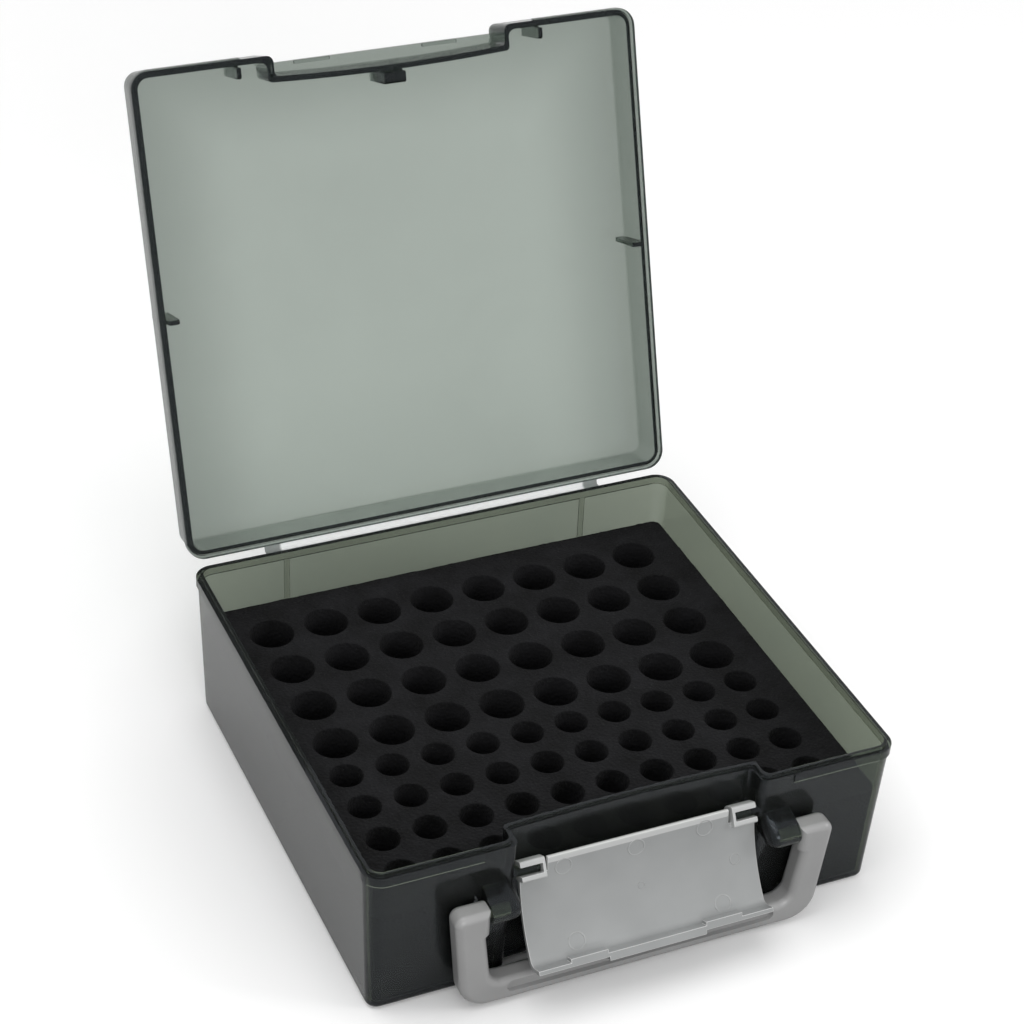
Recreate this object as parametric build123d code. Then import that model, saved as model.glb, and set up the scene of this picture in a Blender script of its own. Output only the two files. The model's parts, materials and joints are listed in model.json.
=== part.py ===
from build123d import *
from math import cos, radians, sin, tan
import os

# Battery organizer case: a drafted tray and a shallow lid moulded in one with a thin flexing web,
# a snap-on latch, a swinging bail handle and a punched foam insert. Millimetres, +Z up, X along the
# front, Y to the back. The origin is the middle of the tray's underside. The lid stands open and the
# latch hangs out, as the case is shown in use.

# Shell: the outline is measured over the rim flange
RIM_WIDTH = 179.0
RIM_DEPTH = 164.6
TRAY_HEIGHT = 55.4
LID_HEIGHT = 15.0
WALL = 2.0
FLOOR = 2.0
LID_PLATE = 2.0
CORNER_RADIUS = 6.5
FLANGE_PROUD = 0.5
FLANGE_TALL = 3.2
LID_FLANGE_TALL = 2.4
TRAY_DRAFT = 2.3
LID_DRAFT = 1.1
BASE_FILLET = 2.0
LID_FILLET = 1.6
RIM_GAP = 0.1

# Tongue on the tray's rim and the rebate for it in the lid
TONGUE_WIDE = 1.0
TONGUE_TALL = 1.0
TONGUE_GAP = 0.2

# Latch bay in the front wall, with a bowed back
BAY_WIDTH = 82.0
BAY_DEPTH = 7.4
BAY_BOW = 1.2
BAY_DRAFT = 1.0
BAY_MOUTH_ROUND = 2.4
BAY_BACK_ROUND = 1.5

# Flexing web between the two rims
HINGE_BEHIND_RIM = 1.45
LID_OPEN_ANGLE = 109.24
WEB_END_IN = 26.9
WEB_THICK = 0.35
WEB_ROOT_THICK = 1.2
WEB_GAP = 0.02
REAR_RIB_IN = 6.9
REAR_RIB_WIDE = 2.0
REAR_RIB_PROUD = 0.5
REAR_RIB_FOOT = 8.0

# Lid details: locating tabs, the visor over the bay and its catch ridges
TAB_THICK = 1.5
TAB_REACH = 4.2
TAB_DROP = 1.6
TAB_CLEAR = 0.5
FRONT_TAB_PAST_HOOD = 1.2
CENTRE_TAB_WIDE = 7.6
VISOR_REACH = 2.7
RIDGE_START = 16.7
RIDGE_LENGTH = 12.5
RIDGE_TALL = 0.9
RIDGE_DEEP = 1.1
RIDGE_SETBACK = 0.3

# Latch and the two pins that it snaps on; its profile is given from the pins' axis, with the lid shut
PIN_RADIUS = 1.65
PIN_HEIGHT = 42.3
PIN_BEHIND_FRONT = 2.9
PIN_END_GAP = 0.3
LATCH_GAP = 1.0
LATCH_THICK = 1.5
LATCH_FOOT_IN = 2.3
LATCH_FOOT_BELOW = 3.1
LATCH_BELLY_OUT = 1.6
LATCH_BELLY_ABOVE = 16.5
LATCH_HEAD_IN = 0.4
LATCH_HANG_ANGLE = 153.0
CLIP_LENGTH = 8.2
CLIP_WALL = 1.6
CLIP_BORE_GAP = 0.05
CLIP_SLOT = 2.9
CLIP_MOUTH_ANGLE = -3.0
CLIP_TIP_ROUND = 0.8
CLIP_END_WALL = 0.9
LIP_ABOVE_LID = 1.9
LIP_REACH = 7.0
LIP_THICK = 1.4
LIP_OUTER_ROUND = 3.8
LIP_INNER_ROUND = 2.5
LIFT_TAB_WIDE = 33.0
LIFT_TAB_TALL = 1.3
TOOTH_GAP = 0.4
TOOTH_ABOVE_LID = 0.7

# Handle and the hoods on the front wall that carry it
PIVOT_HEIGHT = 36.2
PIVOT_OUT = 4.4
STUB_RADIUS = 1.7
STUB_LENGTH = 6.5
STUB_GAP = 0.05
HOOD_BESIDE_BAY = 1.0
HOOD_LENGTH = 10.3
HOOD_RADIUS = 4.0
HOOD_BELOW_PIVOT = 2.1
HOOD_ROOF_SLOPE = 15.0
HOOD_DOME = 3.5
HOOD_SLOT = 2.8
HANDLE_SIDE_GAP = 0.3
HANDLE_ARM = 9.4
HANDLE_LEAN = 3.8
HANDLE_THICK = 8.0
HANDLE_ABOVE_PIVOT = 2.7
HANDLE_GROUND_GAP = 0.8
HANDLE_BAR = 8.5
HANDLE_CORNER = 10.0
HANDLE_INNER_CORNER = 4.5
HANDLE_TOP_ROUND = 3.2
HANDLE_EDGE = 2.4
HUB_TALL = 9.0
HUB_LENGTH = 2.4
GRIP_END_IN = 14.6
GRIP_TALL = 4.0
GRIP_DEEP = 1.6
GRIP_BELOW_TOP = 1.0

# Foam insert with round pockets of two sizes; its rows share out the room from the back to the bay
FOAM_TOP = 37.5
FOAM_GAP = 0.3
AA_POCKET = 14.8
AA_COLUMNS = 8
AA_ROWS = 4
AA_END_IN = 21.53
AA_ROW_SHARE = 0.16328
AA_BACK_IN = 20.7
AAA_POCKET = 10.8
AAA_COLUMNS = 10
AAA_ROWS = 4
AAA_END_IN = 19.075
AAA_ROW_SHARE = 0.12671
AAA_FRONT_IN = 12.36

# Places that follow from the sizes above
FRONT = -RIM_DEPTH / 2
BACK = RIM_DEPTH / 2
WALL_FRONT = FRONT + FLANGE_PROUD
LID_RIM = TRAY_HEIGHT + RIM_GAP
LID_TOP = LID_RIM + LID_HEIGHT
BAY_BACK = FRONT + BAY_DEPTH
VISOR_EDGE = BAY_BACK - VISOR_REACH
HINGE = (0, BACK + HINGE_BEHIND_RIM, TRAY_HEIGHT)
PIN = (0, FRONT + PIN_BEHIND_FRONT, PIN_HEIGHT)
PIVOT = (0, FRONT - PIVOT_OUT, PIVOT_HEIGHT)
WEB_WIDTH = RIM_WIDTH - 2 * WEB_END_IN
REAR_RIB_X = WEB_WIDTH / 2 - REAR_RIB_IN
PIN_LENGTH = LATCH_GAP + CLIP_LENGTH - CLIP_END_WALL - PIN_END_GAP
HOOD_INNER = BAY_WIDTH / 2 + HOOD_BESIDE_BAY
HOOD_OUTER = HOOD_INNER + HOOD_LENGTH
FRONT_TAB_X = HOOD_OUTER + FRONT_TAB_PAST_HOOD
HUB_FACE = HOOD_OUTER + HANDLE_SIDE_GAP
HANDLE_TOP_HALF = HUB_FACE + HUB_LENGTH + HANDLE_ARM
HANDLE_FOOT_HALF = HANDLE_TOP_HALF - HANDLE_LEAN
GRIP_LENGTH = 2 * (HANDLE_FOOT_HALF - GRIP_END_IN)
AA_BACK_ROW = BACK - AA_BACK_IN
AAA_FRONT_ROW = BAY_BACK + AAA_FRONT_IN
ROWS_ROOM = AA_BACK_ROW - AAA_FRONT_ROW
AA_PITCH_X = (RIM_WIDTH - 2 * AA_END_IN) / (AA_COLUMNS - 1)
AAA_PITCH_X = (RIM_WIDTH - 2 * AAA_END_IN) / (AAA_COLUMNS - 1)
AA_PITCH_Y = AA_ROW_SHARE * ROWS_ROOM
AAA_PITCH_Y = AAA_ROW_SHARE * ROWS_ROOM
AAA_BACK_ROW = AAA_FRONT_ROW + (AAA_ROWS - 1) * AAA_PITCH_Y
HAIR = 0.01


def tray_inset(height):
    """How far the tray's outer wall stands in from the flange at a height."""
    return FLANGE_PROUD + TRAY_DRAFT * (1 - height / TRAY_HEIGHT)


def bay_inset(height):
    """How far the bay's faces have drawn back into the case at a height."""
    return BAY_DRAFT * (1 - height / TRAY_HEIGHT)


def plan(inset, inset_bay, height):
    """Outline of the case at a height, drawn in from the flange and drawn back round the bay."""
    half = BAY_WIDTH / 2 + inset_bay
    back = BAY_BACK + inset_bay
    mouth = FRONT - BAY_DEPTH
    bay = make_face(
        Curve()
        + Line((-half, back), (-half, mouth))
        + Line((-half, mouth), (half, mouth))
        + Line((half, mouth), (half, back))
        + ThreePointArc((half, back), (0, back + BAY_BOW), (-half, back))
    )
    corner = max(CORNER_RADIUS - inset, WALL / 2)
    outline = RectangleRounded(RIM_WIDTH - 2 * inset, RIM_DEPTH - 2 * inset, corner) - bay
    for reach, radius in ((FRONT + inset, BAY_MOUTH_ROUND), (back, BAY_BACK_ROUND)):
        outline = fillet(near(outline, -half, reach) + near(outline, half, reach), radius)
    return Pos(0, 0, height) * outline


def near(sketch, x, y):
    """The sketch's corners at a place in its own plane."""
    return sketch.vertices().filter_by(lambda v: abs(v.X - x) + abs(v.Y - y) < HAIR)


def drafted(lower, upper):
    """Solid between two outlines, with straight leaning sides."""
    return loft([lower, upper], ruled=True)


def across(profile, start, end):
    """Solid of a profile drawn in (Y, Z), from one X to another."""
    return Pos(start, 0, 0) * extrude(Plane.YZ * profile, end - start)


def at(place, *points):
    """Points given from a (X, Y, Z) place, as (Y, Z) pairs."""
    return [(place[1] + y, place[2] + z) for y, z in points]


def block(xs, ys, zs):
    """Box between two X, two Y and two Z values."""
    middle = Pos((xs[0] + xs[1]) / 2, (ys[0] + ys[1]) / 2, (zs[0] + zs[1]) / 2)
    return middle * Box(xs[1] - xs[0], ys[1] - ys[0], zs[1] - zs[0])


def rod(place, radius, start, end):
    """Round rod along X through a place, from one X to another."""
    return across(Pos(place[1], place[2]) * Circle(radius), start, end)


def both_sides(solid):
    """The solid and its mirror image across the middle of the case."""
    return [solid, mirror(solid, Plane.YZ)]


def flange(base, tall):
    """Proud band round the rim, left off beside the latch bay."""
    rooted = FLANGE_PROUD + WALL / 2
    band = plan(0, 0, base) - plan(rooted, WALL / 2, base)
    front_gap = Pos(0, FRONT, base) * Box(2 * HOOD_OUTER, 2 * BAY_DEPTH + 4 * WALL, 4 * tall)
    return extrude(band, tall) - front_gap


def tray_shell():
    """Drafted open box with the latch bay, the rim flange and the tongue."""
    outside = drafted(plan(tray_inset(0), bay_inset(0), 0), plan(FLANGE_PROUD, 0, TRAY_HEIGHT))
    outside = fillet(outside.faces().sort_by(Axis.Z)[0].edges(), BASE_FILLET)
    hollow = drafted(
        plan(tray_inset(FLOOR) + WALL, bay_inset(FLOOR) + WALL, FLOOR),
        plan(FLANGE_PROUD + WALL, WALL, TRAY_HEIGHT),
    )
    inner = FLANGE_PROUD + WALL
    tongue = plan(inner - TONGUE_WIDE, WALL - TONGUE_WIDE, TRAY_HEIGHT) - plan(inner, WALL, TRAY_HEIGHT)
    return outside + flange(TRAY_HEIGHT - FLANGE_TALL, FLANGE_TALL) + extrude(tongue, TONGUE_TALL) - hollow


def handle_hood():
    """Domed hood on the front wall, open below by a slot that the handle's stub snaps up through."""
    root = WALL_FRONT + WALL - PIVOT[1]
    slope = radians(HOOD_ROOF_SLOPE)
    brow = (-HOOD_RADIUS * sin(slope), HOOD_RADIUS * cos(slope))
    roof = brow[1] + (root - brow[0]) * tan(slope)
    corners = at(PIVOT, (0, -HOOD_RADIUS), (-HOOD_RADIUS, 0), brow, (root, roof), (root, -HOOD_RADIUS))
    side = make_face(Curve() + ThreePointArc(*corners[:3]) + Polyline(*corners[2:], corners[0]))
    hood = across(side, HOOD_INNER, HOOD_OUTER)
    end_edges = hood.faces().sort_by(Axis.X)[0].edges()
    hood = fillet(end_edges.filter_by(lambda e: e.center().Y < PIVOT[1] + root - HAIR), HOOD_DOME)
    low = PIVOT_HEIGHT - HOOD_BELOW_PIVOT
    hood -= block((HOOD_INNER, HOOD_OUTER), (2 * FRONT, 0), (0, low))
    stub_room = HOOD_OUTER - STUB_LENGTH - STUB_GAP
    bore = rod(PIVOT, STUB_RADIUS + STUB_GAP, stub_room, HOOD_OUTER)
    slot = Pos(PIVOT[1], low) * Rectangle(HOOD_SLOT, 2 * HOOD_BELOW_PIVOT)
    return hood - bore - across(slot, stub_room, HOOD_OUTER)


def latch_pin():
    """Short round pin that stands in from the bay's flank and carries one of the latch's clips."""
    flank = BAY_WIDTH / 2 + WALL / 2
    return rod(PIN, PIN_RADIUS, BAY_WIDTH / 2 - PIN_LENGTH, flank)


def rear_rib():
    """Slim stiffening rib down the outside of the back wall."""
    top = TRAY_HEIGHT - FLANGE_TALL
    foot_y = BACK - tray_inset(REAR_RIB_FOOT)
    top_y = BACK - tray_inset(top)
    half_wall = WALL / 2
    profile = make_face(
        Polyline(
            (foot_y - half_wall, REAR_RIB_FOOT),
            (foot_y, REAR_RIB_FOOT),
            (foot_y + REAR_RIB_PROUD, REAR_RIB_FOOT + REAR_RIB_PROUD),
            (top_y + REAR_RIB_PROUD, top),
            (top_y - half_wall, top),
            close=True,
        )
    )
    return across(profile, REAR_RIB_X - REAR_RIB_WIDE / 2, REAR_RIB_X + REAR_RIB_WIDE / 2)


def tray():
    """The moulded tray with the hoods, pins and ribs that belong to it."""
    details = [*both_sides(handle_hood()), *both_sides(latch_pin()), *both_sides(rear_rib())]
    return tray_shell() + details


def lid_tab(thick):
    """Locating tab on a wall's inside, drawn with the wall's inner face at Y = 0 and the room at +Y."""
    top = LID_TOP - LID_PLATE / 2
    ledge = LID_RIM + TONGUE_TALL + 2 * TONGUE_GAP
    tip = LID_RIM - TAB_DROP
    chamfer = TAB_DROP / 2
    profile = make_face(
        Polyline(
            (-WALL / 2, top),
            (-WALL / 2, ledge),
            (TAB_CLEAR, ledge),
            (TAB_CLEAR, tip),
            (TAB_REACH - chamfer, tip),
            (TAB_REACH, tip + chamfer),
            (TAB_REACH, top),
            close=True,
        )
    )
    return across(profile, -thick / 2, thick / 2)


def lid_closed():
    """The lid as it lies on the tray: shell, notch over the bay, visor, catch ridges and tabs."""
    draft = FLANGE_PROUD + LID_DRAFT
    outside = drafted(plan(FLANGE_PROUD, 0, LID_RIM), plan(draft, 0, LID_TOP))
    outside = fillet(outside.faces().sort_by(Axis.Z)[-1].edges(), LID_FILLET)
    visor_top = BAY_BACK + BAY_BOW
    visor = Pos(0, (VISOR_EDGE + visor_top) / 2, LID_TOP - LID_PLATE / 2) * Box(
        BAY_WIDTH, visor_top - VISOR_EDGE, LID_PLATE
    )
    ridge_middle = RIDGE_START + RIDGE_LENGTH / 2
    ridge = Pos(ridge_middle, VISOR_EDGE + RIDGE_SETBACK + RIDGE_DEEP / 2, LID_TOP + RIDGE_TALL / 2) * Box(
        RIDGE_LENGTH, RIDGE_DEEP, RIDGE_TALL
    )
    inner = FLANGE_PROUD + WALL
    hollow = drafted(
        plan(inner, WALL, LID_RIM),
        plan(draft + WALL, WALL, LID_TOP - LID_PLATE),
    )
    rebate_wide = TONGUE_WIDE + TONGUE_GAP
    rebate = extrude(plan(inner - rebate_wide, WALL - rebate_wide, LID_RIM), TONGUE_TALL + TONGUE_GAP)
    shell = outside + visor + both_sides(ridge) + flange(LID_RIM, LID_FLANGE_TALL) - hollow - rebate
    wall_x = RIM_WIDTH / 2 - inner
    side_tab = Pos(wall_x, 0, 0) * Rot(0, 0, 90) * lid_tab(TAB_THICK)
    front_tab = Pos(FRONT_TAB_X, FRONT + inner, 0) * lid_tab(TAB_THICK)
    centre_tab = Pos(0, BAY_BACK + BAY_BOW + WALL, 0) * lid_tab(CENTRE_TAB_WIDE)
    return shell + [*both_sides(side_tab), *both_sides(front_tab), centre_tab]


def web_half(up):
    """Half of the flexing web, from the rim to the hinge line, with a thicker root; up is 1 on the lid."""
    points = at(
        HINGE,
        (-HINGE_BEHIND_RIM, up * WEB_GAP),
        (-WEB_GAP, up * WEB_GAP),
        (-WEB_GAP, up * WEB_THICK),
        (-HINGE_BEHIND_RIM / 2, up * WEB_THICK),
        (-HINGE_BEHIND_RIM, up * WEB_ROOT_THICK),
    )
    return across(make_face(Polyline(*points, close=True)), -WEB_WIDTH / 2, WEB_WIDTH / 2)


def clip_profile(radius, reach, half_tall):
    """Round end with a straight run towards the clip's mouth, in (Y, Z), with the pin at the origin."""
    return Circle(radius) + Pos(reach / 2, 0) * Rectangle(reach, 2 * half_tall)


def on_pin(profile):
    """A clip's profile set on the pin with its mouth turned as in the closed latch."""
    return Pos(PIN[1], PIN[2]) * Rot(0, 0, CLIP_MOUTH_ANGLE) * profile


def latch_closed():
    """The latch as it holds the lid shut: bowed plate, two clips, hooked lip and a lift tab."""
    half_width = BAY_WIDTH / 2 - LATCH_GAP
    half_thick = LATCH_THICK / 2
    lip_under = LID_TOP + LIP_ABOVE_LID
    lip_top = lip_under + LIP_THICK
    head_out = PIN[1] + LATCH_HEAD_IN - half_thick
    head_in = head_out + LATCH_THICK
    lip_end = head_out + LIP_REACH
    foot_out, foot_in, belly_out, belly_in = at(
        PIN,
        (LATCH_FOOT_IN - half_thick, -LATCH_FOOT_BELOW),
        (LATCH_FOOT_IN + half_thick, -LATCH_FOOT_BELOW),
        (-LATCH_BELLY_OUT - half_thick, LATCH_BELLY_ABOVE),
        (-LATCH_BELLY_OUT + half_thick, LATCH_BELLY_ABOVE),
    )
    profile = make_face(
        Curve()
        + ThreePointArc(foot_out, belly_out, (head_out, lip_top))
        + Polyline((head_out, lip_top), (lip_end, lip_top), (lip_end, lip_under), (head_in, lip_under))
        + ThreePointArc((head_in, lip_under), belly_in, foot_in)
        + Line(foot_in, foot_out)
    )
    profile = fillet(near(profile, head_out, lip_top), LIP_OUTER_ROUND)
    profile = fillet(near(profile, head_in, lip_under), LIP_INNER_ROUND)
    plate = across(profile, -half_width, half_width)
    lift_half = LIFT_TAB_WIDE / 2
    lift_start = head_out + LIP_OUTER_ROUND
    lift = block((-lift_half, lift_half), (lift_start, lip_end), (lip_under, lip_top + LIFT_TAB_TALL))
    tooth_start = VISOR_EDGE + RIDGE_SETBACK + RIDGE_DEEP + TOOTH_GAP
    tooth = block(
        (RIDGE_START, RIDGE_START + RIDGE_LENGTH),
        (tooth_start, lip_end),
        (LID_TOP + TOOTH_ABOVE_LID, lip_under + LIP_THICK / 2),
    )
    clip_start = half_width - CLIP_LENGTH
    bore = PIN_RADIUS + CLIP_BORE_GAP
    clip_outer = bore + CLIP_WALL
    prongs = clip_profile(clip_outer, clip_outer, clip_outer)
    tips = near(prongs, clip_outer, clip_outer) + near(prongs, clip_outer, -clip_outer)
    clip = across(on_pin(fillet(tips, CLIP_TIP_ROUND)), clip_start, half_width)
    room_start = clip_start - LATCH_GAP
    clip_room = block(
        (room_start, half_width),
        (PIN[1] - clip_outer, PIN[1] + clip_outer),
        (PIN_HEIGHT - LATCH_FOOT_BELOW - clip_outer, PIN_HEIGHT + bore),
    )
    slot = on_pin(clip_profile(bore, 2 * clip_outer, CLIP_SLOT / 2))
    opening = across(slot, clip_start + CLIP_END_WALL, half_width)
    body = plate - both_sides(clip_room) + lift + both_sides(tooth) + both_sides(clip)
    return body - both_sides(opening)


def handle():
    """Hanging bail: two leaning arms, a grip bar with a recess, and a stub on each hub."""
    top = PIVOT_HEIGHT + HANDLE_ABOVE_PIVOT
    foot = HANDLE_GROUND_GAP
    bar_top = foot + HANDLE_BAR
    outer = make_face(
        Polyline((-HANDLE_TOP_HALF, top), (HANDLE_TOP_HALF, top), (HANDLE_FOOT_HALF, foot),
                 (-HANDLE_FOOT_HALF, foot), close=True)
    )
    outer = fillet(outer.vertices().filter_by(lambda v: v.Y < bar_top), HANDLE_CORNER)
    outer = fillet(outer.vertices().filter_by(lambda v: v.Y > PIVOT_HEIGHT), HANDLE_TOP_ROUND)
    top_half, foot_half = HANDLE_TOP_HALF - HANDLE_ARM, HANDLE_FOOT_HALF - HANDLE_ARM
    window = make_face(
        Polyline((-top_half, top), (top_half, top), (foot_half, bar_top), (-foot_half, bar_top), close=True)
    )
    window = fillet(window.vertices().filter_by(lambda v: v.Y < PIVOT_HEIGHT), HANDLE_INNER_CORNER)
    hub_wide = HUB_LENGTH + HANDLE_ARM / 2
    hub_low = top - HUB_TALL
    hub = make_face(
        Polyline((HUB_FACE, top), (HUB_FACE, hub_low), (HUB_FACE + hub_wide, hub_low - hub_wide),
                 (HUB_FACE + hub_wide, top), close=True)
    )
    hubs = hub + mirror(hub, Plane.YZ)
    bail = Pos(0, PIVOT[1] + HANDLE_THICK / 2, 0) * extrude(Plane.XZ * (outer - window + hubs), HANDLE_THICK)
    rims = bail.edges().filter_by(lambda e: abs(abs(e.center().Y - PIVOT[1]) - HANDLE_THICK / 2) < HAIR)
    bail = fillet(rims, HANDLE_EDGE)
    front = PIVOT[1] - HANDLE_THICK / 2
    grip_middle = bar_top - GRIP_BELOW_TOP - GRIP_TALL / 2
    recess = Pos(0, grip_middle) * SlotOverall(GRIP_LENGTH, GRIP_TALL)
    bail -= Pos(0, front + GRIP_DEEP, 0) * extrude(Plane.XZ * recess, 2 * GRIP_DEEP)
    stub = rod(PIVOT, STUB_RADIUS, HOOD_OUTER - STUB_LENGTH, HUB_FACE + HANDLE_EDGE)
    return bail + both_sides(stub)


def pocket_rows():
    """Each row of pockets as (Y, pocket width, columns, pitch), from the back to the front."""
    rows = [(AA_BACK_ROW - i * AA_PITCH_Y, AA_POCKET, AA_COLUMNS, AA_PITCH_X) for i in range(AA_ROWS)]
    rows += [(AAA_BACK_ROW - i * AAA_PITCH_Y, AAA_POCKET, AAA_COLUMNS, AAA_PITCH_X) for i in range(AAA_ROWS)]
    return rows


def foam_insert():
    """Foam block that fills the lower tray, in strips that meet along the middles of its pocket rows."""
    blank = drafted(
        plan(tray_inset(FLOOR) + WALL + FOAM_GAP, bay_inset(FLOOR) + WALL + FOAM_GAP, FLOOR),
        plan(tray_inset(FOAM_TOP) + WALL + FOAM_GAP, bay_inset(FOAM_TOP) + WALL + FOAM_GAP, FOAM_TOP),
    )
    rows = pocket_rows()
    seams = [BACK] + [row[0] for row in rows] + [FRONT]
    strips = []
    for i in range(len(seams) - 1):
        strip = blank & block((-RIM_WIDTH, RIM_WIDTH), (seams[i + 1], seams[i]), (0, TRAY_HEIGHT))
        holes = [
            Pos((c - (columns - 1) / 2) * pitch, y, TRAY_HEIGHT / 2) * Cylinder(wide / 2, TRAY_HEIGHT)
            for y, wide, columns, pitch in rows[max(i - 1, 0):i + 1]
            for c in range(columns)
        ]
        strips += (strip - holes).solids()
    return Compound(strips)


lid_swing = Axis(HINGE, (1, 0, 0))
latch_swing = Axis(PIN, (1, 0, 0))
nodes = {
    "tray": tray(),
    "hinge_web_tray": web_half(-1),
    "lid": lid_closed().rotate(lid_swing, -LID_OPEN_ANGLE),
    "hinge_web_lid": web_half(1).rotate(lid_swing, -LID_OPEN_ANGLE),
    "latch": latch_closed().rotate(latch_swing, LATCH_HANG_ANGLE),
    "handle": handle(),
    "foam_insert": foam_insert(),
}

os.makedirs("parts", exist_ok=True)
for name, shape in nodes.items():
    export_step(shape, f"parts/{name}.step")
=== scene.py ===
import json
import math

import bpy
from mathutils import Matrix, Vector


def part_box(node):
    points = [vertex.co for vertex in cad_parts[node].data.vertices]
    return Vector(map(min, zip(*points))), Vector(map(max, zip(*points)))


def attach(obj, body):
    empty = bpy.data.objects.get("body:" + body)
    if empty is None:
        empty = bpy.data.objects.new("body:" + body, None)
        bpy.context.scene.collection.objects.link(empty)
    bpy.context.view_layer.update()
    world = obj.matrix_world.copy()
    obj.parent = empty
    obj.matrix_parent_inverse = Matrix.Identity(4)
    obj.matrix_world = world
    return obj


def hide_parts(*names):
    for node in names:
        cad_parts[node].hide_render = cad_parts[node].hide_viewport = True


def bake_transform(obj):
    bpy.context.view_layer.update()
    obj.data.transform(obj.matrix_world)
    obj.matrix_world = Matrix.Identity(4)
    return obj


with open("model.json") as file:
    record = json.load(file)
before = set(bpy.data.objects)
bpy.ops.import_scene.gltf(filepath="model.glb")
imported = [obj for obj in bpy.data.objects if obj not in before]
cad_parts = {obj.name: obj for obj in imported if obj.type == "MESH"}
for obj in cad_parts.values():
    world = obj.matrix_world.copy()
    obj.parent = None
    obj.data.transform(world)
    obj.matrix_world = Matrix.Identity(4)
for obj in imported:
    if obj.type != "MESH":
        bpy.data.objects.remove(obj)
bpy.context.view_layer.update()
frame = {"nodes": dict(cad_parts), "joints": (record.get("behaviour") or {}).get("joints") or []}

# Battery organizer case in metres, in the CAD frame: X along the front, Y to the back, Z up.

# Tray
# The lower box with its rim, hoods and pins: one injection moulding in smoke-tinted polypropylene.
# The mould is polished outside, so the walls mirror what stands near them. Thick places look black.
MM = 0.001
JOIN = 0.002 * MM
FLAT = math.radians(0.2)
SHARP = math.radians(32)
EDGE_STEPS = 2
TRAY_EDGE = 0.25 * MM
FLOW_SIZE = 38 * MM
POLISH_SIZE = 9 * MM
PEEL_SIZE = 5 * MM
COOL_SHINE = "D9E4F0"
SMOKE_PALE = "ECF1F2"
SMOKE_DEEP = "E5EBED"
SMOKE_DYE = "98A086"
SMOKE_DENSITY = 820.0
SMOKE_HAZE = (0.05, 0.12)


def only(piece):
    """Makes one object the selected and active one."""
    bpy.ops.object.select_all(action="DESELECT")
    piece.select_set(True)
    bpy.context.view_layer.objects.active = piece


def merged_copy(node, name):
    """New object with a copy of a CAD node's mesh, its split corners merged and its flat facets joined."""
    piece = bpy.data.objects.new(name, frame["nodes"][node].data.copy())
    bpy.context.scene.collection.objects.link(piece)
    piece.data.materials.clear()
    only(piece)
    bpy.ops.object.mode_set(mode="EDIT")
    bpy.ops.mesh.select_all(action="SELECT")
    bpy.ops.mesh.customdata_custom_splitnormals_clear()
    bpy.ops.mesh.remove_doubles(threshold=JOIN)
    bpy.ops.mesh.dissolve_limited(angle_limit=FLAT)
    bpy.ops.object.mode_set(mode="OBJECT")
    return piece


def soften(piece, edge):
    """Rounds every sharp edge as a mould does, in the piece's last material, and shades the rest smooth."""
    only(piece)
    bevel = piece.modifiers.new("mould_radius", "BEVEL")
    bevel.width = edge
    bevel.segments = EDGE_STEPS
    bevel.limit_method = "ANGLE"
    bevel.angle_limit = SHARP
    bevel.material = len(piece.material_slots) - 1
    bpy.ops.object.modifier_apply(modifier=bevel.name)
    bpy.ops.object.shade_smooth_by_angle(angle=SHARP)
    level = piece.modifiers.new("flat_faces", "WEIGHTED_NORMAL")
    level.weight = 50
    level.keep_sharp = True
    bpy.ops.object.modifier_apply(modifier=level.name)


def linear(code):
    """Linear colour from an sRGB hex code."""
    parts = [int(code[i:i + 2], 16) / 255 for i in (0, 2, 4)]
    return [c / 12.92 if c <= 0.04045 else ((c + 0.055) / 1.055) ** 2.4 for c in parts] + [1.0]


def shade(tree, kind, inputs=None, **settings):
    """Adds one shader node; inputs are values, or sockets to link from."""
    made = tree.nodes.new("ShaderNode" + kind)
    for name, value in settings.items():
        setattr(made, name, value)
    for name, value in (inputs or {}).items():
        if isinstance(value, bpy.types.NodeSocket):
            tree.links.new(value, made.inputs[name])
        else:
            made.inputs[name].default_value = value
    return made


def new_material(name):
    """Empty material, its node tree, its output node and its object coordinates."""
    material = bpy.data.materials.new(name)
    material.use_nodes = True
    tree = material.node_tree
    tree.nodes.clear()
    output = shade(tree, "OutputMaterial")
    place = shade(tree, "TexCoord").outputs["Object"]
    return material, tree, output, place


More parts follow.
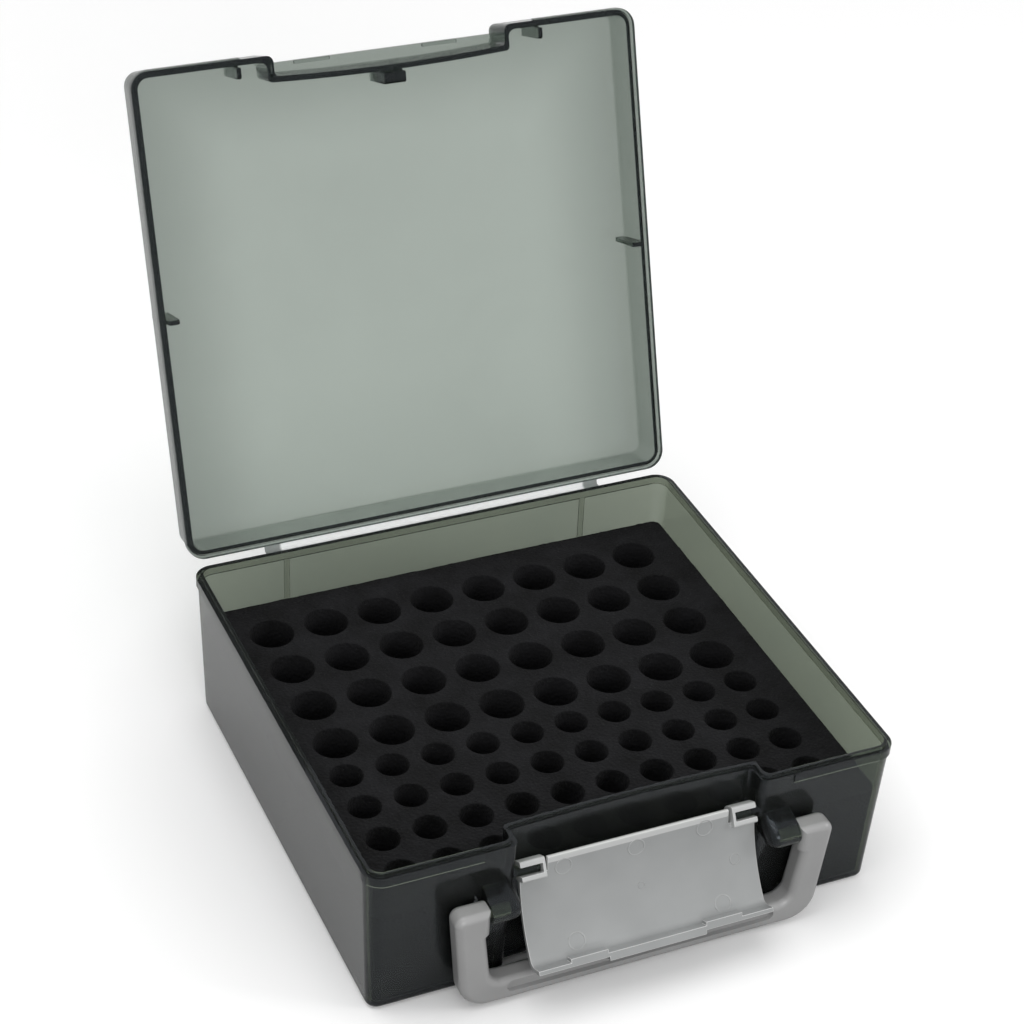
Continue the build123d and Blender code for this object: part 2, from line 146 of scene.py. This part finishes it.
def tinted_plastic(name, pale, deep, haze, dye, density):
    """Clear moulded plastic: varied polish, faint flow marks, and a dye that deepens with thickness."""
    material, tree, output, place = new_material(name)
    flow = shade(
        tree, "TexNoise",
        {"Vector": place, "Scale": 1 / FLOW_SIZE, "Detail": 3.0, "Distortion": 0.6},
    )
    polish = shade(tree, "TexNoise", {"Vector": place, "Scale": 1 / POLISH_SIZE, "Detail": 4.0})
    peel = shade(tree, "TexNoise", {"Vector": place, "Scale": 1 / PEEL_SIZE, "Detail": 2.0})
    body = shade(tree, "ValToRGB", {"Fac": flow.outputs["Fac"]})
    body.color_ramp.elements[0].position = 0.3
    body.color_ramp.elements[0].color = linear(deep)
    body.color_ramp.elements[1].position = 0.7
    body.color_ramp.elements[1].color = linear(pale)
    rough = shade(
        tree, "MapRange",
        {"Value": polish.outputs["Fac"], "From Min": 0.3, "From Max": 0.7,
         "To Min": haze[0], "To Max": haze[1]},
    )
    bump = shade(tree, "Bump", {"Height": peel.outputs["Fac"], "Strength": 0.05, "Distance": 0.1 * MM})
    # The resin's own index is 1.49; a lower one and a cool shine match the object's dark walls
    surface = shade(
        tree, "BsdfPrincipled",
        {"Base Color": body.outputs["Color"], "Roughness": rough.outputs["Result"],
         "Normal": bump.outputs["Normal"], "IOR": 1.34, "Specular Tint": linear(COOL_SHINE),
         "Transmission Weight": 0.99},
    )
    depth = shade(tree, "VolumeAbsorption", {"Color": linear(dye), "Density": density})
    tree.links.new(surface.outputs["BSDF"], output.inputs["Surface"])
    tree.links.new(depth.outputs["Volume"], output.inputs["Volume"])
    return material


tray = merged_copy("tray", "tray_moulding")
soften(tray, TRAY_EDGE)
# Polished smoke polypropylene: clear enough to see light through one wall, black where it is thick
smoke = tinted_plastic(
    "smoke_polypropylene_polished", SMOKE_PALE, SMOKE_DEEP, SMOKE_HAZE, SMOKE_DYE, SMOKE_DENSITY
)
tray.data.materials.append(smoke)
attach(tray, "case")
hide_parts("tray")

# Foam insert
# A block of closed-cell polyethylene foam, punched with round pockets and pushed into the tray.
# The punch rolls each mouth over a little, and the saw leaves the upper rim ragged.
FOAM_MOUTH = 0.6 * MM
HAIR = 0.02 * MM
RAG = 0.3 * MM
RAG_SEED = 7
# Shortest and longest edge of the rim's short and long sides, and the cuts that each gets
RIM_SIDES = ((20 * MM, 100 * MM, 45), (100 * MM, 200 * MM, 110))
FOAM_DEEP = "09090A"
FOAM_PALE = "18181A"
FOAM_PATCH = 14 * MM
FOAM_CELL = 1.1 * MM

foam = merged_copy("foam_insert", "foam_block")
bpy.ops.object.mode_set(mode="EDIT")
bpy.ops.mesh.select_mode(type="FACE")
bpy.ops.mesh.select_all(action="DESELECT")
# The CAD strips meet in inner faces, which the real block doesn't have
bpy.ops.mesh.select_interior_faces()
bpy.ops.mesh.delete(type="ONLY_FACE")
bpy.ops.mesh.select_all(action="SELECT")
bpy.ops.mesh.dissolve_limited(angle_limit=FLAT)
bpy.ops.object.mode_set(mode="OBJECT")
soften(foam, FOAM_MOUTH)
# The rim's round is cut into short lengths, which are then moved a little
foam_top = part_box("foam_insert")[1][2]
for shortest, longest, cuts in RIM_SIDES:
    bpy.ops.object.mode_set(mode="EDIT")
    bpy.ops.mesh.select_mode(type="EDGE")
    bpy.ops.mesh.select_all(action="DESELECT")
    bpy.ops.object.mode_set(mode="OBJECT")
    for edge in foam.data.edges:
        one, other = (foam.data.vertices[i].co for i in edge.vertices)
        above_wall = foam_top - FOAM_MOUTH < min(one.z, other.z) - HAIR
        below_top = max(one.z, other.z) + HAIR < foam_top
        edge.select = above_wall and below_top and shortest < (one - other).length < longest
    bpy.ops.object.mode_set(mode="EDIT")
    bpy.ops.mesh.subdivide(number_cuts=cuts)
    bpy.ops.transform.vertex_random(offset=RAG, seed=RAG_SEED)
    bpy.ops.object.mode_set(mode="OBJECT")

# Punched polyethylene foam: dull near-black with small pits, which are drawn coarser than real to show
material, tree, output, place = new_material("black_polyethylene_foam_punched")
pits = shade(tree, "TexVoronoi", {"Vector": place, "Scale": 1 / FOAM_CELL, "Randomness": 1.0})
tone = shade(tree, "TexNoise", {"Vector": place, "Scale": 1 / FOAM_PATCH, "Detail": 8.0, "Roughness": 0.7})
colour = shade(tree, "ValToRGB", {"Fac": tone.outputs["Fac"]})
colour.color_ramp.elements[0].position = 0.35
colour.color_ramp.elements[0].color = linear(FOAM_DEEP)
colour.color_ramp.elements[1].position = 0.65
colour.color_ramp.elements[1].color = linear(FOAM_PALE)
bump = shade(tree, "Bump", {"Height": pits.outputs["Distance"], "Strength": 1.0, "Distance": 0.4 * MM})
surface = shade(
    tree, "BsdfPrincipled",
    {"Base Color": colour.outputs["Color"], "Roughness": 0.95, "Specular IOR Level": 0.2,
     "Normal": bump.outputs["Normal"]},
)
tree.links.new(surface.outputs["BSDF"], output.inputs["Surface"])
foam.data.materials.append(material)
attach(foam, "case")
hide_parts("foam_insert")

# Hinge web
# The thin strip that joins tray and lid, moulded in one with them and flexed while still warm.
# Flexing has whitened it; its last few millimetres at each end stay grey.
WEB_HALF = 62.6 * MM
WEB_THICK = 0.33 * MM
WEB_GAP = 0.02 * MM
WEB_REACH = 1.5 * MM
WEB_TURNS = 8
WHITE_END = 56.5 * MM
GREY_START = 57.5 * MM
WEB_GREY = "8C918F"
WEB_WHITE = "F2F3F3"
CRAZE_SIZE = 6 * MM
CRAZE_STRETCH = (1.0, 14.0, 14.0)
lid_hinge = next(joint for joint in frame["joints"] if joint["name"] == "lid_hinge")
hinge = Vector(lid_hinge["pos_m"])
lid_turn = math.radians(-lid_hinge["range_deg"][0])
along_lid = Vector((0, -math.cos(lid_turn), math.sin(lid_turn)))

bpy.ops.object.select_all(action="DESELECT")
bpy.ops.mesh.primitive_plane_add(
    size=1.0,
    location=hinge + Vector((0, -WEB_REACH, -WEB_GAP - WEB_THICK / 2)),
    rotation=(math.pi / 2, 0, 0),
)
web = bpy.context.object
web.name = "hinge_web"
web.scale = (2 * WEB_HALF, WEB_THICK, 1)
bpy.ops.object.transform_apply(location=True, rotation=True, scale=True)
bpy.ops.object.mode_set(mode="EDIT")
bpy.ops.mesh.select_all(action="SELECT")
for step in (WEB_REACH / 2, WEB_REACH / 2):
    bpy.ops.mesh.extrude_region_move(TRANSFORM_OT_translate={"value": (0, step, 0)})
bpy.ops.mesh.spin(
    steps=WEB_TURNS, angle=lid_turn - math.pi, center=hinge, axis=(1, 0, 0),
    use_normal_flip=False, use_auto_merge=False,
)
for step in (WEB_REACH / 2, WEB_REACH / 2):
    bpy.ops.mesh.extrude_region_move(TRANSFORM_OT_translate={"value": along_lid * step})
bpy.ops.mesh.select_all(action="SELECT")
bpy.ops.mesh.remove_doubles(threshold=JOIN)
bpy.ops.mesh.normals_make_consistent(inside=False)
bpy.ops.object.mode_set(mode="OBJECT")
bpy.ops.object.shade_smooth_by_angle(angle=SHARP)

# Flex-whitened polypropylene: milky white with fine streaks along the bend, and plain grey at both ends
material, tree, output, place = new_material("polypropylene_web_flex_whitened")
split = shade(tree, "SeparateXYZ", {"Vector": place})
side = shade(tree, "Math", {0: split.outputs["X"]}, operation="ABSOLUTE")
white = shade(
    tree, "MapRange",
    {"Value": side.outputs["Value"], "From Min": WHITE_END, "From Max": GREY_START,
     "To Min": 1.0, "To Max": 0.0},
)
streak = shade(tree, "Mapping", {"Vector": place, "Scale": CRAZE_STRETCH})
craze = shade(
    tree, "TexNoise", {"Vector": streak.outputs["Vector"], "Scale": 1 / CRAZE_SIZE, "Detail": 3.0}
)
level = shade(tree, "MapRange", {"Value": craze.outputs["Fac"], "To Min": 0.55, "To Max": 1.2})
share = shade(tree, "Math", {0: white.outputs["Result"], 1: level.outputs["Result"]}, operation="MULTIPLY")
colour = shade(tree, "ValToRGB", {"Fac": share.outputs["Value"]})
colour.color_ramp.elements[0].color = linear(WEB_GREY)
colour.color_ramp.elements[1].position = 0.8
colour.color_ramp.elements[1].color = linear(WEB_WHITE)
surface = shade(
    tree, "BsdfPrincipled",
    {"Base Color": colour.outputs["Color"], "Roughness": 0.45, "IOR": 1.49, "Transmission Weight": 0.3},
)
tree.links.new(surface.outputs["BSDF"], output.inputs["Surface"])
web.data.materials.append(material)
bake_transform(web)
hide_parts("hinge_web_tray", "hinge_web_lid")

# Lid
# The shallow cover with its visor, catch ridges and locating tabs, moulded in one with the tray.
# It is the same polypropylene with less dye, so one plate passes a grey-green light.
LID_EDGE = 0.25 * MM
LID_PALE = "F2F4F1"
LID_DEEP = "EEF0ED"
# Colour of the painted shade near the plate's side and front walls
LID_PAINTED_SHADE = "CACCC9"
LID_DYE = "90A296"
LID_DENSITY = 560.0
LID_HAZE = (0.12, 0.2)
# How far in the painted shade reaches, and how its two sides blend
PAINTED_SHADE_WIDE = 42 * MM
PAINTED_SHADE_BLEND = 0.4
lid = merged_copy("lid", "lid_moulding")
soften(lid, LID_EDGE)

# Light smoke polypropylene: hazy grey-green through one plate, near black along the walls
clear = tinted_plastic(
    "light_smoke_polypropylene_moulded", LID_PALE, LID_DEEP, LID_HAZE, LID_DYE, LID_DENSITY
)
# Painted shade: the plate's colour is drawn darker towards its side and front walls
lid_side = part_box("lid")[1][0]
lid_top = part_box("lid")[1][2]
tree = clear.node_tree
split = shade(tree, "SeparateXYZ", {"Vector": shade(tree, "TexCoord").outputs["Object"]})
side = shade(tree, "Math", {0: split.outputs["X"]}, operation="ABSOLUTE")
shade_by_side = shade(
    tree, "MapRange",
    {"Value": side.outputs["Value"], "From Min": lid_side - PAINTED_SHADE_WIDE, "From Max": lid_side},
    interpolation_type="SMOOTHSTEP",
)
shade_by_front = shade(
    tree, "MapRange",
    {"Value": split.outputs["Z"], "From Min": lid_top - PAINTED_SHADE_WIDE, "From Max": lid_top},
    interpolation_type="SMOOTHSTEP",
)
painted_shade_mask = shade(
    tree, "Math",
    {0: shade_by_side.outputs["Result"], 1: shade_by_front.outputs["Result"], 2: PAINTED_SHADE_BLEND},
    operation="SMOOTH_MAX",
)
surface = tree.nodes["Principled BSDF"]
body = surface.inputs["Base Color"].links[0].from_socket
colour_with_painted_light = shade(
    tree, "MixRGB",
    {"Fac": painted_shade_mask.outputs["Value"], "Color1": body, "Color2": linear(LID_PAINTED_SHADE)},
)
tree.links.new(colour_with_painted_light.outputs["Color"], surface.inputs["Base Color"])
lid.data.materials.append(clear)
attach(lid, "lid")
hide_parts("lid")

# Latch
# A bowed plate that snaps on two pins and hooks over the lid, moulded in milky grey polypropylene.
# The pins that pushed it from its mould have left faint rings on its inner face.
LATCH_EDGE = 0.35 * MM
FOOT_ROUND = 0.8 * MM
FOOT_STEPS = 3
FOOT_HEIGHT = 44.4 * MM
FOOT_FRONT = -80.5 * MM
PLATE_SPAN = 50 * MM
# Where the clips and the foot's top start, and how much painted highlight each takes
CLIP_START = 31.7 * MM
CLIP_HEIGHT = 38.5 * MM
CLIP_HIGHLIGHT = 0.6
ROLL_HEIGHT = 44.0 * MM
ROLL_HIGHLIGHT = 0.8
LATCH_DEEP = "9B9D9D"
LATCH_PALE = "A6A8A8"
# Painted highlight colour, also used faintly for the paler ejector marks
LATCH_HIGHLIGHT = "D6D7D6"
LATCH_PATCH = 22 * MM
LATCH_GRAIN = 1.2 * MM

# Milky polypropylene: pale grey and satin, a little see-through, with a painted highlight on its rounded
# edges, its clips and the foot's top, where light from above catches them
# Its mould grain is drawn coarser than real, so that it breaks up the shine
milky, tree, output, place = new_material("milky_polypropylene_moulded")
tone = shade(tree, "TexNoise", {"Vector": place, "Scale": 1 / LATCH_PATCH, "Detail": 3.0})
colour = shade(tree, "ValToRGB", {"Fac": tone.outputs["Fac"]})
colour.color_ramp.elements[0].position = 0.3
colour.color_ramp.elements[0].color = linear(LATCH_DEEP)
colour.color_ramp.elements[1].position = 0.7
colour.color_ramp.elements[1].color = linear(LATCH_PALE)
highlight_and_mark = shade(tree, "Attribute", attribute_name="painted_highlight_and_mark")
colour_with_painted_light = shade(
    tree, "MixRGB",
    {"Fac": highlight_and_mark.outputs["Fac"], "Color1": colour.outputs["Color"], "Color2": linear(LATCH_HIGHLIGHT)},
)
grain = shade(tree, "TexNoise", {"Vector": place, "Scale": 1 / LATCH_GRAIN, "Detail": 2.0})
bump = shade(tree, "Bump", {"Height": grain.outputs["Fac"], "Strength": 0.06, "Distance": 0.1 * MM})
surface = shade(
    tree, "BsdfPrincipled",
    {"Base Color": colour_with_painted_light.outputs["Color"], "Roughness": 0.3, "IOR": 1.49, "Transmission Weight": 0.2,
     "Normal": bump.outputs["Normal"]},
)
tree.links.new(surface.outputs["BSDF"], output.inputs["Surface"])

latch = merged_copy("latch", "latch_moulding")
# The front edge of the plate's foot is rolled over farther than the rest
bpy.ops.object.mode_set(mode="EDIT")
bpy.ops.mesh.select_mode(type="EDGE")
bpy.ops.mesh.select_all(action="DESELECT")
bpy.ops.object.mode_set(mode="OBJECT")
for edge in latch.data.edges:
    one, other = (latch.data.vertices[i].co for i in edge.vertices)
    at_foot = min(one.z, other.z) > FOOT_HEIGHT and max(one.y, other.y) < FOOT_FRONT
    edge.select = at_foot and abs(one.x - other.x) > PLATE_SPAN
bpy.ops.object.mode_set(mode="EDIT")
bpy.ops.mesh.bevel(offset=FOOT_ROUND, segments=FOOT_STEPS, affect="EDGES")
bpy.ops.object.mode_set(mode="OBJECT")
# A second slot marks the rounded edges, and then gives way to an attribute that paints a highlight on them,
# and a weaker one on the clips and the foot's top
latch.data.materials.append(milky)
latch.data.materials.append(milky)
soften(latch, LATCH_EDGE)
painted_highlight_and_mark = latch.data.attributes.new("painted_highlight_and_mark", "FLOAT", "FACE")
for face in latch.data.polygons:
    on_clip = abs(face.center.x) > CLIP_START and face.center.z > CLIP_HEIGHT
    on_roll = abs(face.center.x) < CLIP_START and face.center.z > ROLL_HEIGHT
    painted_highlight_and_mark.data[face.index].value = max(face.material_index, CLIP_HIGHLIGHT * on_clip, ROLL_HIGHLIGHT * on_roll)
    face.material_index = 0
latch.data.materials.pop()
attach(latch, "latch")
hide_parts("latch")

# Each mark is one ring, spun from its small round section and copied to the plate's nearest point
MARK_RADIUS = 2.7 * MM
MARK_WIDE = 0.28 * MM
MARK_LOW = 0.6
MARK_PALE = 0.15
MARK_SIDES = 8
MARK_TURNS = 40
# Place just off the plate of each mark in mm, and its size beside the largest
marks = (
    (-25.5, -82.0, 41.5, 1.0),
    (-1.0, -82.0, 41.5, 1.0),
    (22.5, -82.0, 42.0, 1.0),
    (32.5, -85.5, 29.5, 0.63),
    (0.0, -85.5, 29.0, 0.4),
    (-24.0, -92.0, 19.5, 1.0),
    (26.0, -92.5, 19.0, 1.0),
)
bpy.ops.object.select_all(action="DESELECT")
bpy.ops.mesh.primitive_circle_add(
    vertices=MARK_SIDES, radius=MARK_WIDE, location=(MARK_RADIUS, 0, 0), rotation=(math.pi / 2, 0, 0)
)
mark = bpy.context.object
bpy.ops.object.transform_apply(location=True, rotation=True, scale=True)
bpy.ops.object.mode_set(mode="EDIT")
bpy.ops.mesh.select_all(action="SELECT")
bpy.ops.transform.resize(value=(1, 1, MARK_LOW), center_override=(0, 0, 0))
bpy.ops.mesh.spin(steps=MARK_TURNS, angle=2 * math.pi, center=(0, 0, 0), axis=(0, 0, 1))
bpy.ops.mesh.select_all(action="SELECT")
bpy.ops.mesh.remove_doubles(threshold=JOIN)
bpy.ops.mesh.normals_make_consistent(inside=False)
bpy.ops.object.mode_set(mode="OBJECT")
bpy.ops.object.shade_smooth()
mark.data.materials.append(milky)
painted_highlight_and_mark = mark.data.attributes.new("painted_highlight_and_mark", "FLOAT", "FACE")
for face in mark.data.polygons:
    painted_highlight_and_mark.data[face.index].value = MARK_PALE
rings = []
for along, out, height, size in marks:
    spot, facing = latch.closest_point_on_mesh(Vector((along, out, height)) * MM)[1:3]
    ring = bpy.data.objects.new("latch_ejector_mark", mark.data.copy())
    bpy.context.scene.collection.objects.link(ring)
    ring.location = spot
    ring.rotation_euler = facing.to_track_quat("Z", "Y").to_euler()
    ring.scale = (size, size, 1)
    rings.append(ring)
bpy.data.objects.remove(mark)
bpy.ops.object.select_all(action="DESELECT")
for ring in rings:
    ring.select_set(True)
bpy.context.view_layer.objects.active = rings[0]
bpy.ops.object.transform_apply(location=True, rotation=True, scale=True)
bpy.ops.object.join()
ejector_marks = bpy.context.object
ejector_marks.name = "latch_ejector_marks"
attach(ejector_marks, "latch")

# Handle
# The bail that swings on two stubs in the tray's hoods, moulded in opaque grey ABS.
# Its mould is spark-eroded, so the skin is satin with a very fine grain, worn smoother where it is gripped.
HANDLE_EDGE = 0.2 * MM
HANDLE_DEEP = "8F8F8F"
HANDLE_PALE = "999999"
HANDLE_PATCH = 25 * MM
WEAR_SIZE = 12 * MM
HANDLE_GRAIN = 0.8 * MM
handle = merged_copy("handle", "handle_moulding")
soften(handle, HANDLE_EDGE)

# Satin ABS: an even mid grey with a soft, patchy shine; its grain is drawn coarser than real to show
material, tree, output, place = new_material("grey_abs_satin")
tone = shade(tree, "TexNoise", {"Vector": place, "Scale": 1 / HANDLE_PATCH, "Detail": 4.0})
colour = shade(tree, "ValToRGB", {"Fac": tone.outputs["Fac"]})
colour.color_ramp.elements[0].position = 0.3
colour.color_ramp.elements[0].color = linear(HANDLE_DEEP)
colour.color_ramp.elements[1].position = 0.7
colour.color_ramp.elements[1].color = linear(HANDLE_PALE)
wear = shade(tree, "TexNoise", {"Vector": place, "Scale": 1 / WEAR_SIZE, "Detail": 5.0})
rough = shade(
    tree, "MapRange",
    {"Value": wear.outputs["Fac"], "From Min": 0.3, "From Max": 0.7, "To Min": 0.3, "To Max": 0.42},
)
grain = shade(tree, "TexNoise", {"Vector": place, "Scale": 1 / HANDLE_GRAIN, "Detail": 2.0})
bump = shade(tree, "Bump", {"Height": grain.outputs["Fac"], "Strength": 0.1, "Distance": 0.08 * MM})
surface = shade(
    tree, "BsdfPrincipled",
    {"Base Color": colour.outputs["Color"], "Roughness": rough.outputs["Result"], "IOR": 1.53,
     "Normal": bump.outputs["Normal"]},
)
tree.links.new(surface.outputs["BSDF"], output.inputs["Surface"])
handle.data.materials.append(material)
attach(handle, "handle")
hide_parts("handle")

# Studio
# A plain white table in a white surround. Three soft square lamps light it:
# a large one above, a smaller one at the front and a small one at the right.
TABLE_SIZE = 8.0
TABLE_DROP = 0.2 * MM
TABLE_BOUNCE = "6E6E6E"
TABLE_SEEN = "F8F8F8"
TABLE_MIRRORED = 0.8
NEAR_GLOW = 0.14
NEAR_START = 0.1
NEAR_END = 0.16
FAR_GLOW = 0.33
FAR_START = 0.5
FAR_END = 2.5
WHITE = "FFFFFF"
AIR_BOUNCE = 0.5
AIR_SEEN = 1.0
LAMP_TARGET = (0, 0, 0.05)


def seen_share(tree, mirrored):
    """Socket that is 1 for sight and for sight through plastic, a given share for reflections, else 0."""
    path = shade(tree, "LightPath")
    shine = shade(tree, "Math", {0: path.outputs["Is Glossy Ray"], 1: mirrored}, operation="MULTIPLY")
    sight = shade(
        tree, "Math", {0: path.outputs["Is Camera Ray"], 1: shine.outputs["Value"]}, operation="MAXIMUM"
    )
    through = path.outputs["Is Transmission Ray"]
    seen = shade(tree, "Math", {0: sight.outputs["Value"], 1: through}, operation="MAXIMUM")
    return seen.outputs["Value"]


def lamp(name, place, size, watts):
    """Square soft lamp that points at the case."""
    light = bpy.data.lights.new(name, "AREA")
    light.shape = "SQUARE"
    light.size = size
    light.energy = watts
    made = bpy.data.objects.new(name, light)
    bpy.context.scene.collection.objects.link(made)
    made.location = place
    made.rotation_mode = "QUATERNION"
    made.rotation_quaternion = (Vector(LAMP_TARGET) - Vector(place)).to_track_quat("-Z", "Y")


bpy.ops.object.select_all(action="DESELECT")
bpy.ops.mesh.primitive_plane_add(size=TABLE_SIZE, location=(0, 0, -TABLE_DROP))
floor = bpy.context.object
floor.name = "floor"
# Matt white table: white where it is seen, and joined to the surround by a faint glow away from the case
# It throws back only a little light from below
material, tree, output, place = new_material("white_table_matt")
seen = seen_share(tree, TABLE_MIRRORED)
colour = shade(tree, "ValToRGB", {"Fac": seen})
colour.color_ramp.elements[0].color = linear(TABLE_BOUNCE)
colour.color_ramp.elements[1].color = linear(TABLE_SEEN)
away = shade(tree, "VectorMath", {0: place}, operation="LENGTH")
near = shade(
    tree, "MapRange",
    {"Value": away.outputs["Value"], "From Min": NEAR_START, "From Max": NEAR_END,
     "To Min": 0.0, "To Max": NEAR_GLOW},
)
far = shade(
    tree, "MapRange",
    {"Value": away.outputs["Value"], "From Min": FAR_START, "From Max": FAR_END,
     "To Min": 0.0, "To Max": FAR_GLOW},
)
both = shade(tree, "Math", {0: near.outputs["Result"], 1: far.outputs["Result"]}, operation="ADD")
glow = shade(tree, "Math", {0: seen, 1: both.outputs["Value"]}, operation="MULTIPLY")
surface = shade(
    tree, "BsdfPrincipled",
    {"Base Color": colour.outputs["Color"], "Roughness": 0.9, "Emission Color": linear(WHITE),
     "Emission Strength": glow.outputs["Value"]},
)
material.cycles.emission_sampling = "NONE"
tree.links.new(surface.outputs["BSDF"], output.inputs["Surface"])
floor.data.materials.append(material)

lamp("key_lamp", (-0.35, 0.1, 1.4), 1.2, 9.0)
lamp("front_lamp", (-0.3, -1.3, 0.6), 0.7, 8.2)
lamp("side_lamp", (1.0, -0.6, 0.7), 0.45, 4.0)

world = bpy.data.worlds.new("studio")
bpy.context.scene.world = world
world.use_nodes = True
tree = world.node_tree
tree.nodes.clear()
power = shade(tree, "MapRange", {"Value": seen_share(tree, 1.0), "To Min": AIR_BOUNCE, "To Max": AIR_SEEN})
air = shade(tree, "Background", {"Color": linear(WHITE), "Strength": power.outputs["Result"]})
shade(tree, "OutputWorld", {"Surface": air.outputs["Background"]})

camera = bpy.data.cameras.new("camera")
camera.lens = 91.989
camera.sensor_width = 36.0
camera.clip_start = 0.01
camera.clip_end = 50.0
eye = bpy.data.objects.new("camera", camera)
bpy.context.scene.collection.objects.link(eye)
right = Vector((0.91371044, -0.40261987, 0.05504977))
ahead = Vector((0.36000885, 0.73918027, -0.56921538))
up = right.cross(ahead)
turn = Matrix((right, up, -ahead)).transposed().to_4x4()
eye.matrix_world = Matrix.Translation(Vector((-303.986, -601.322, 578.003)) * MM) @ turn
bpy.context.scene.camera = eye
bpy.context.scene.view_settings.view_transform = "Standard"
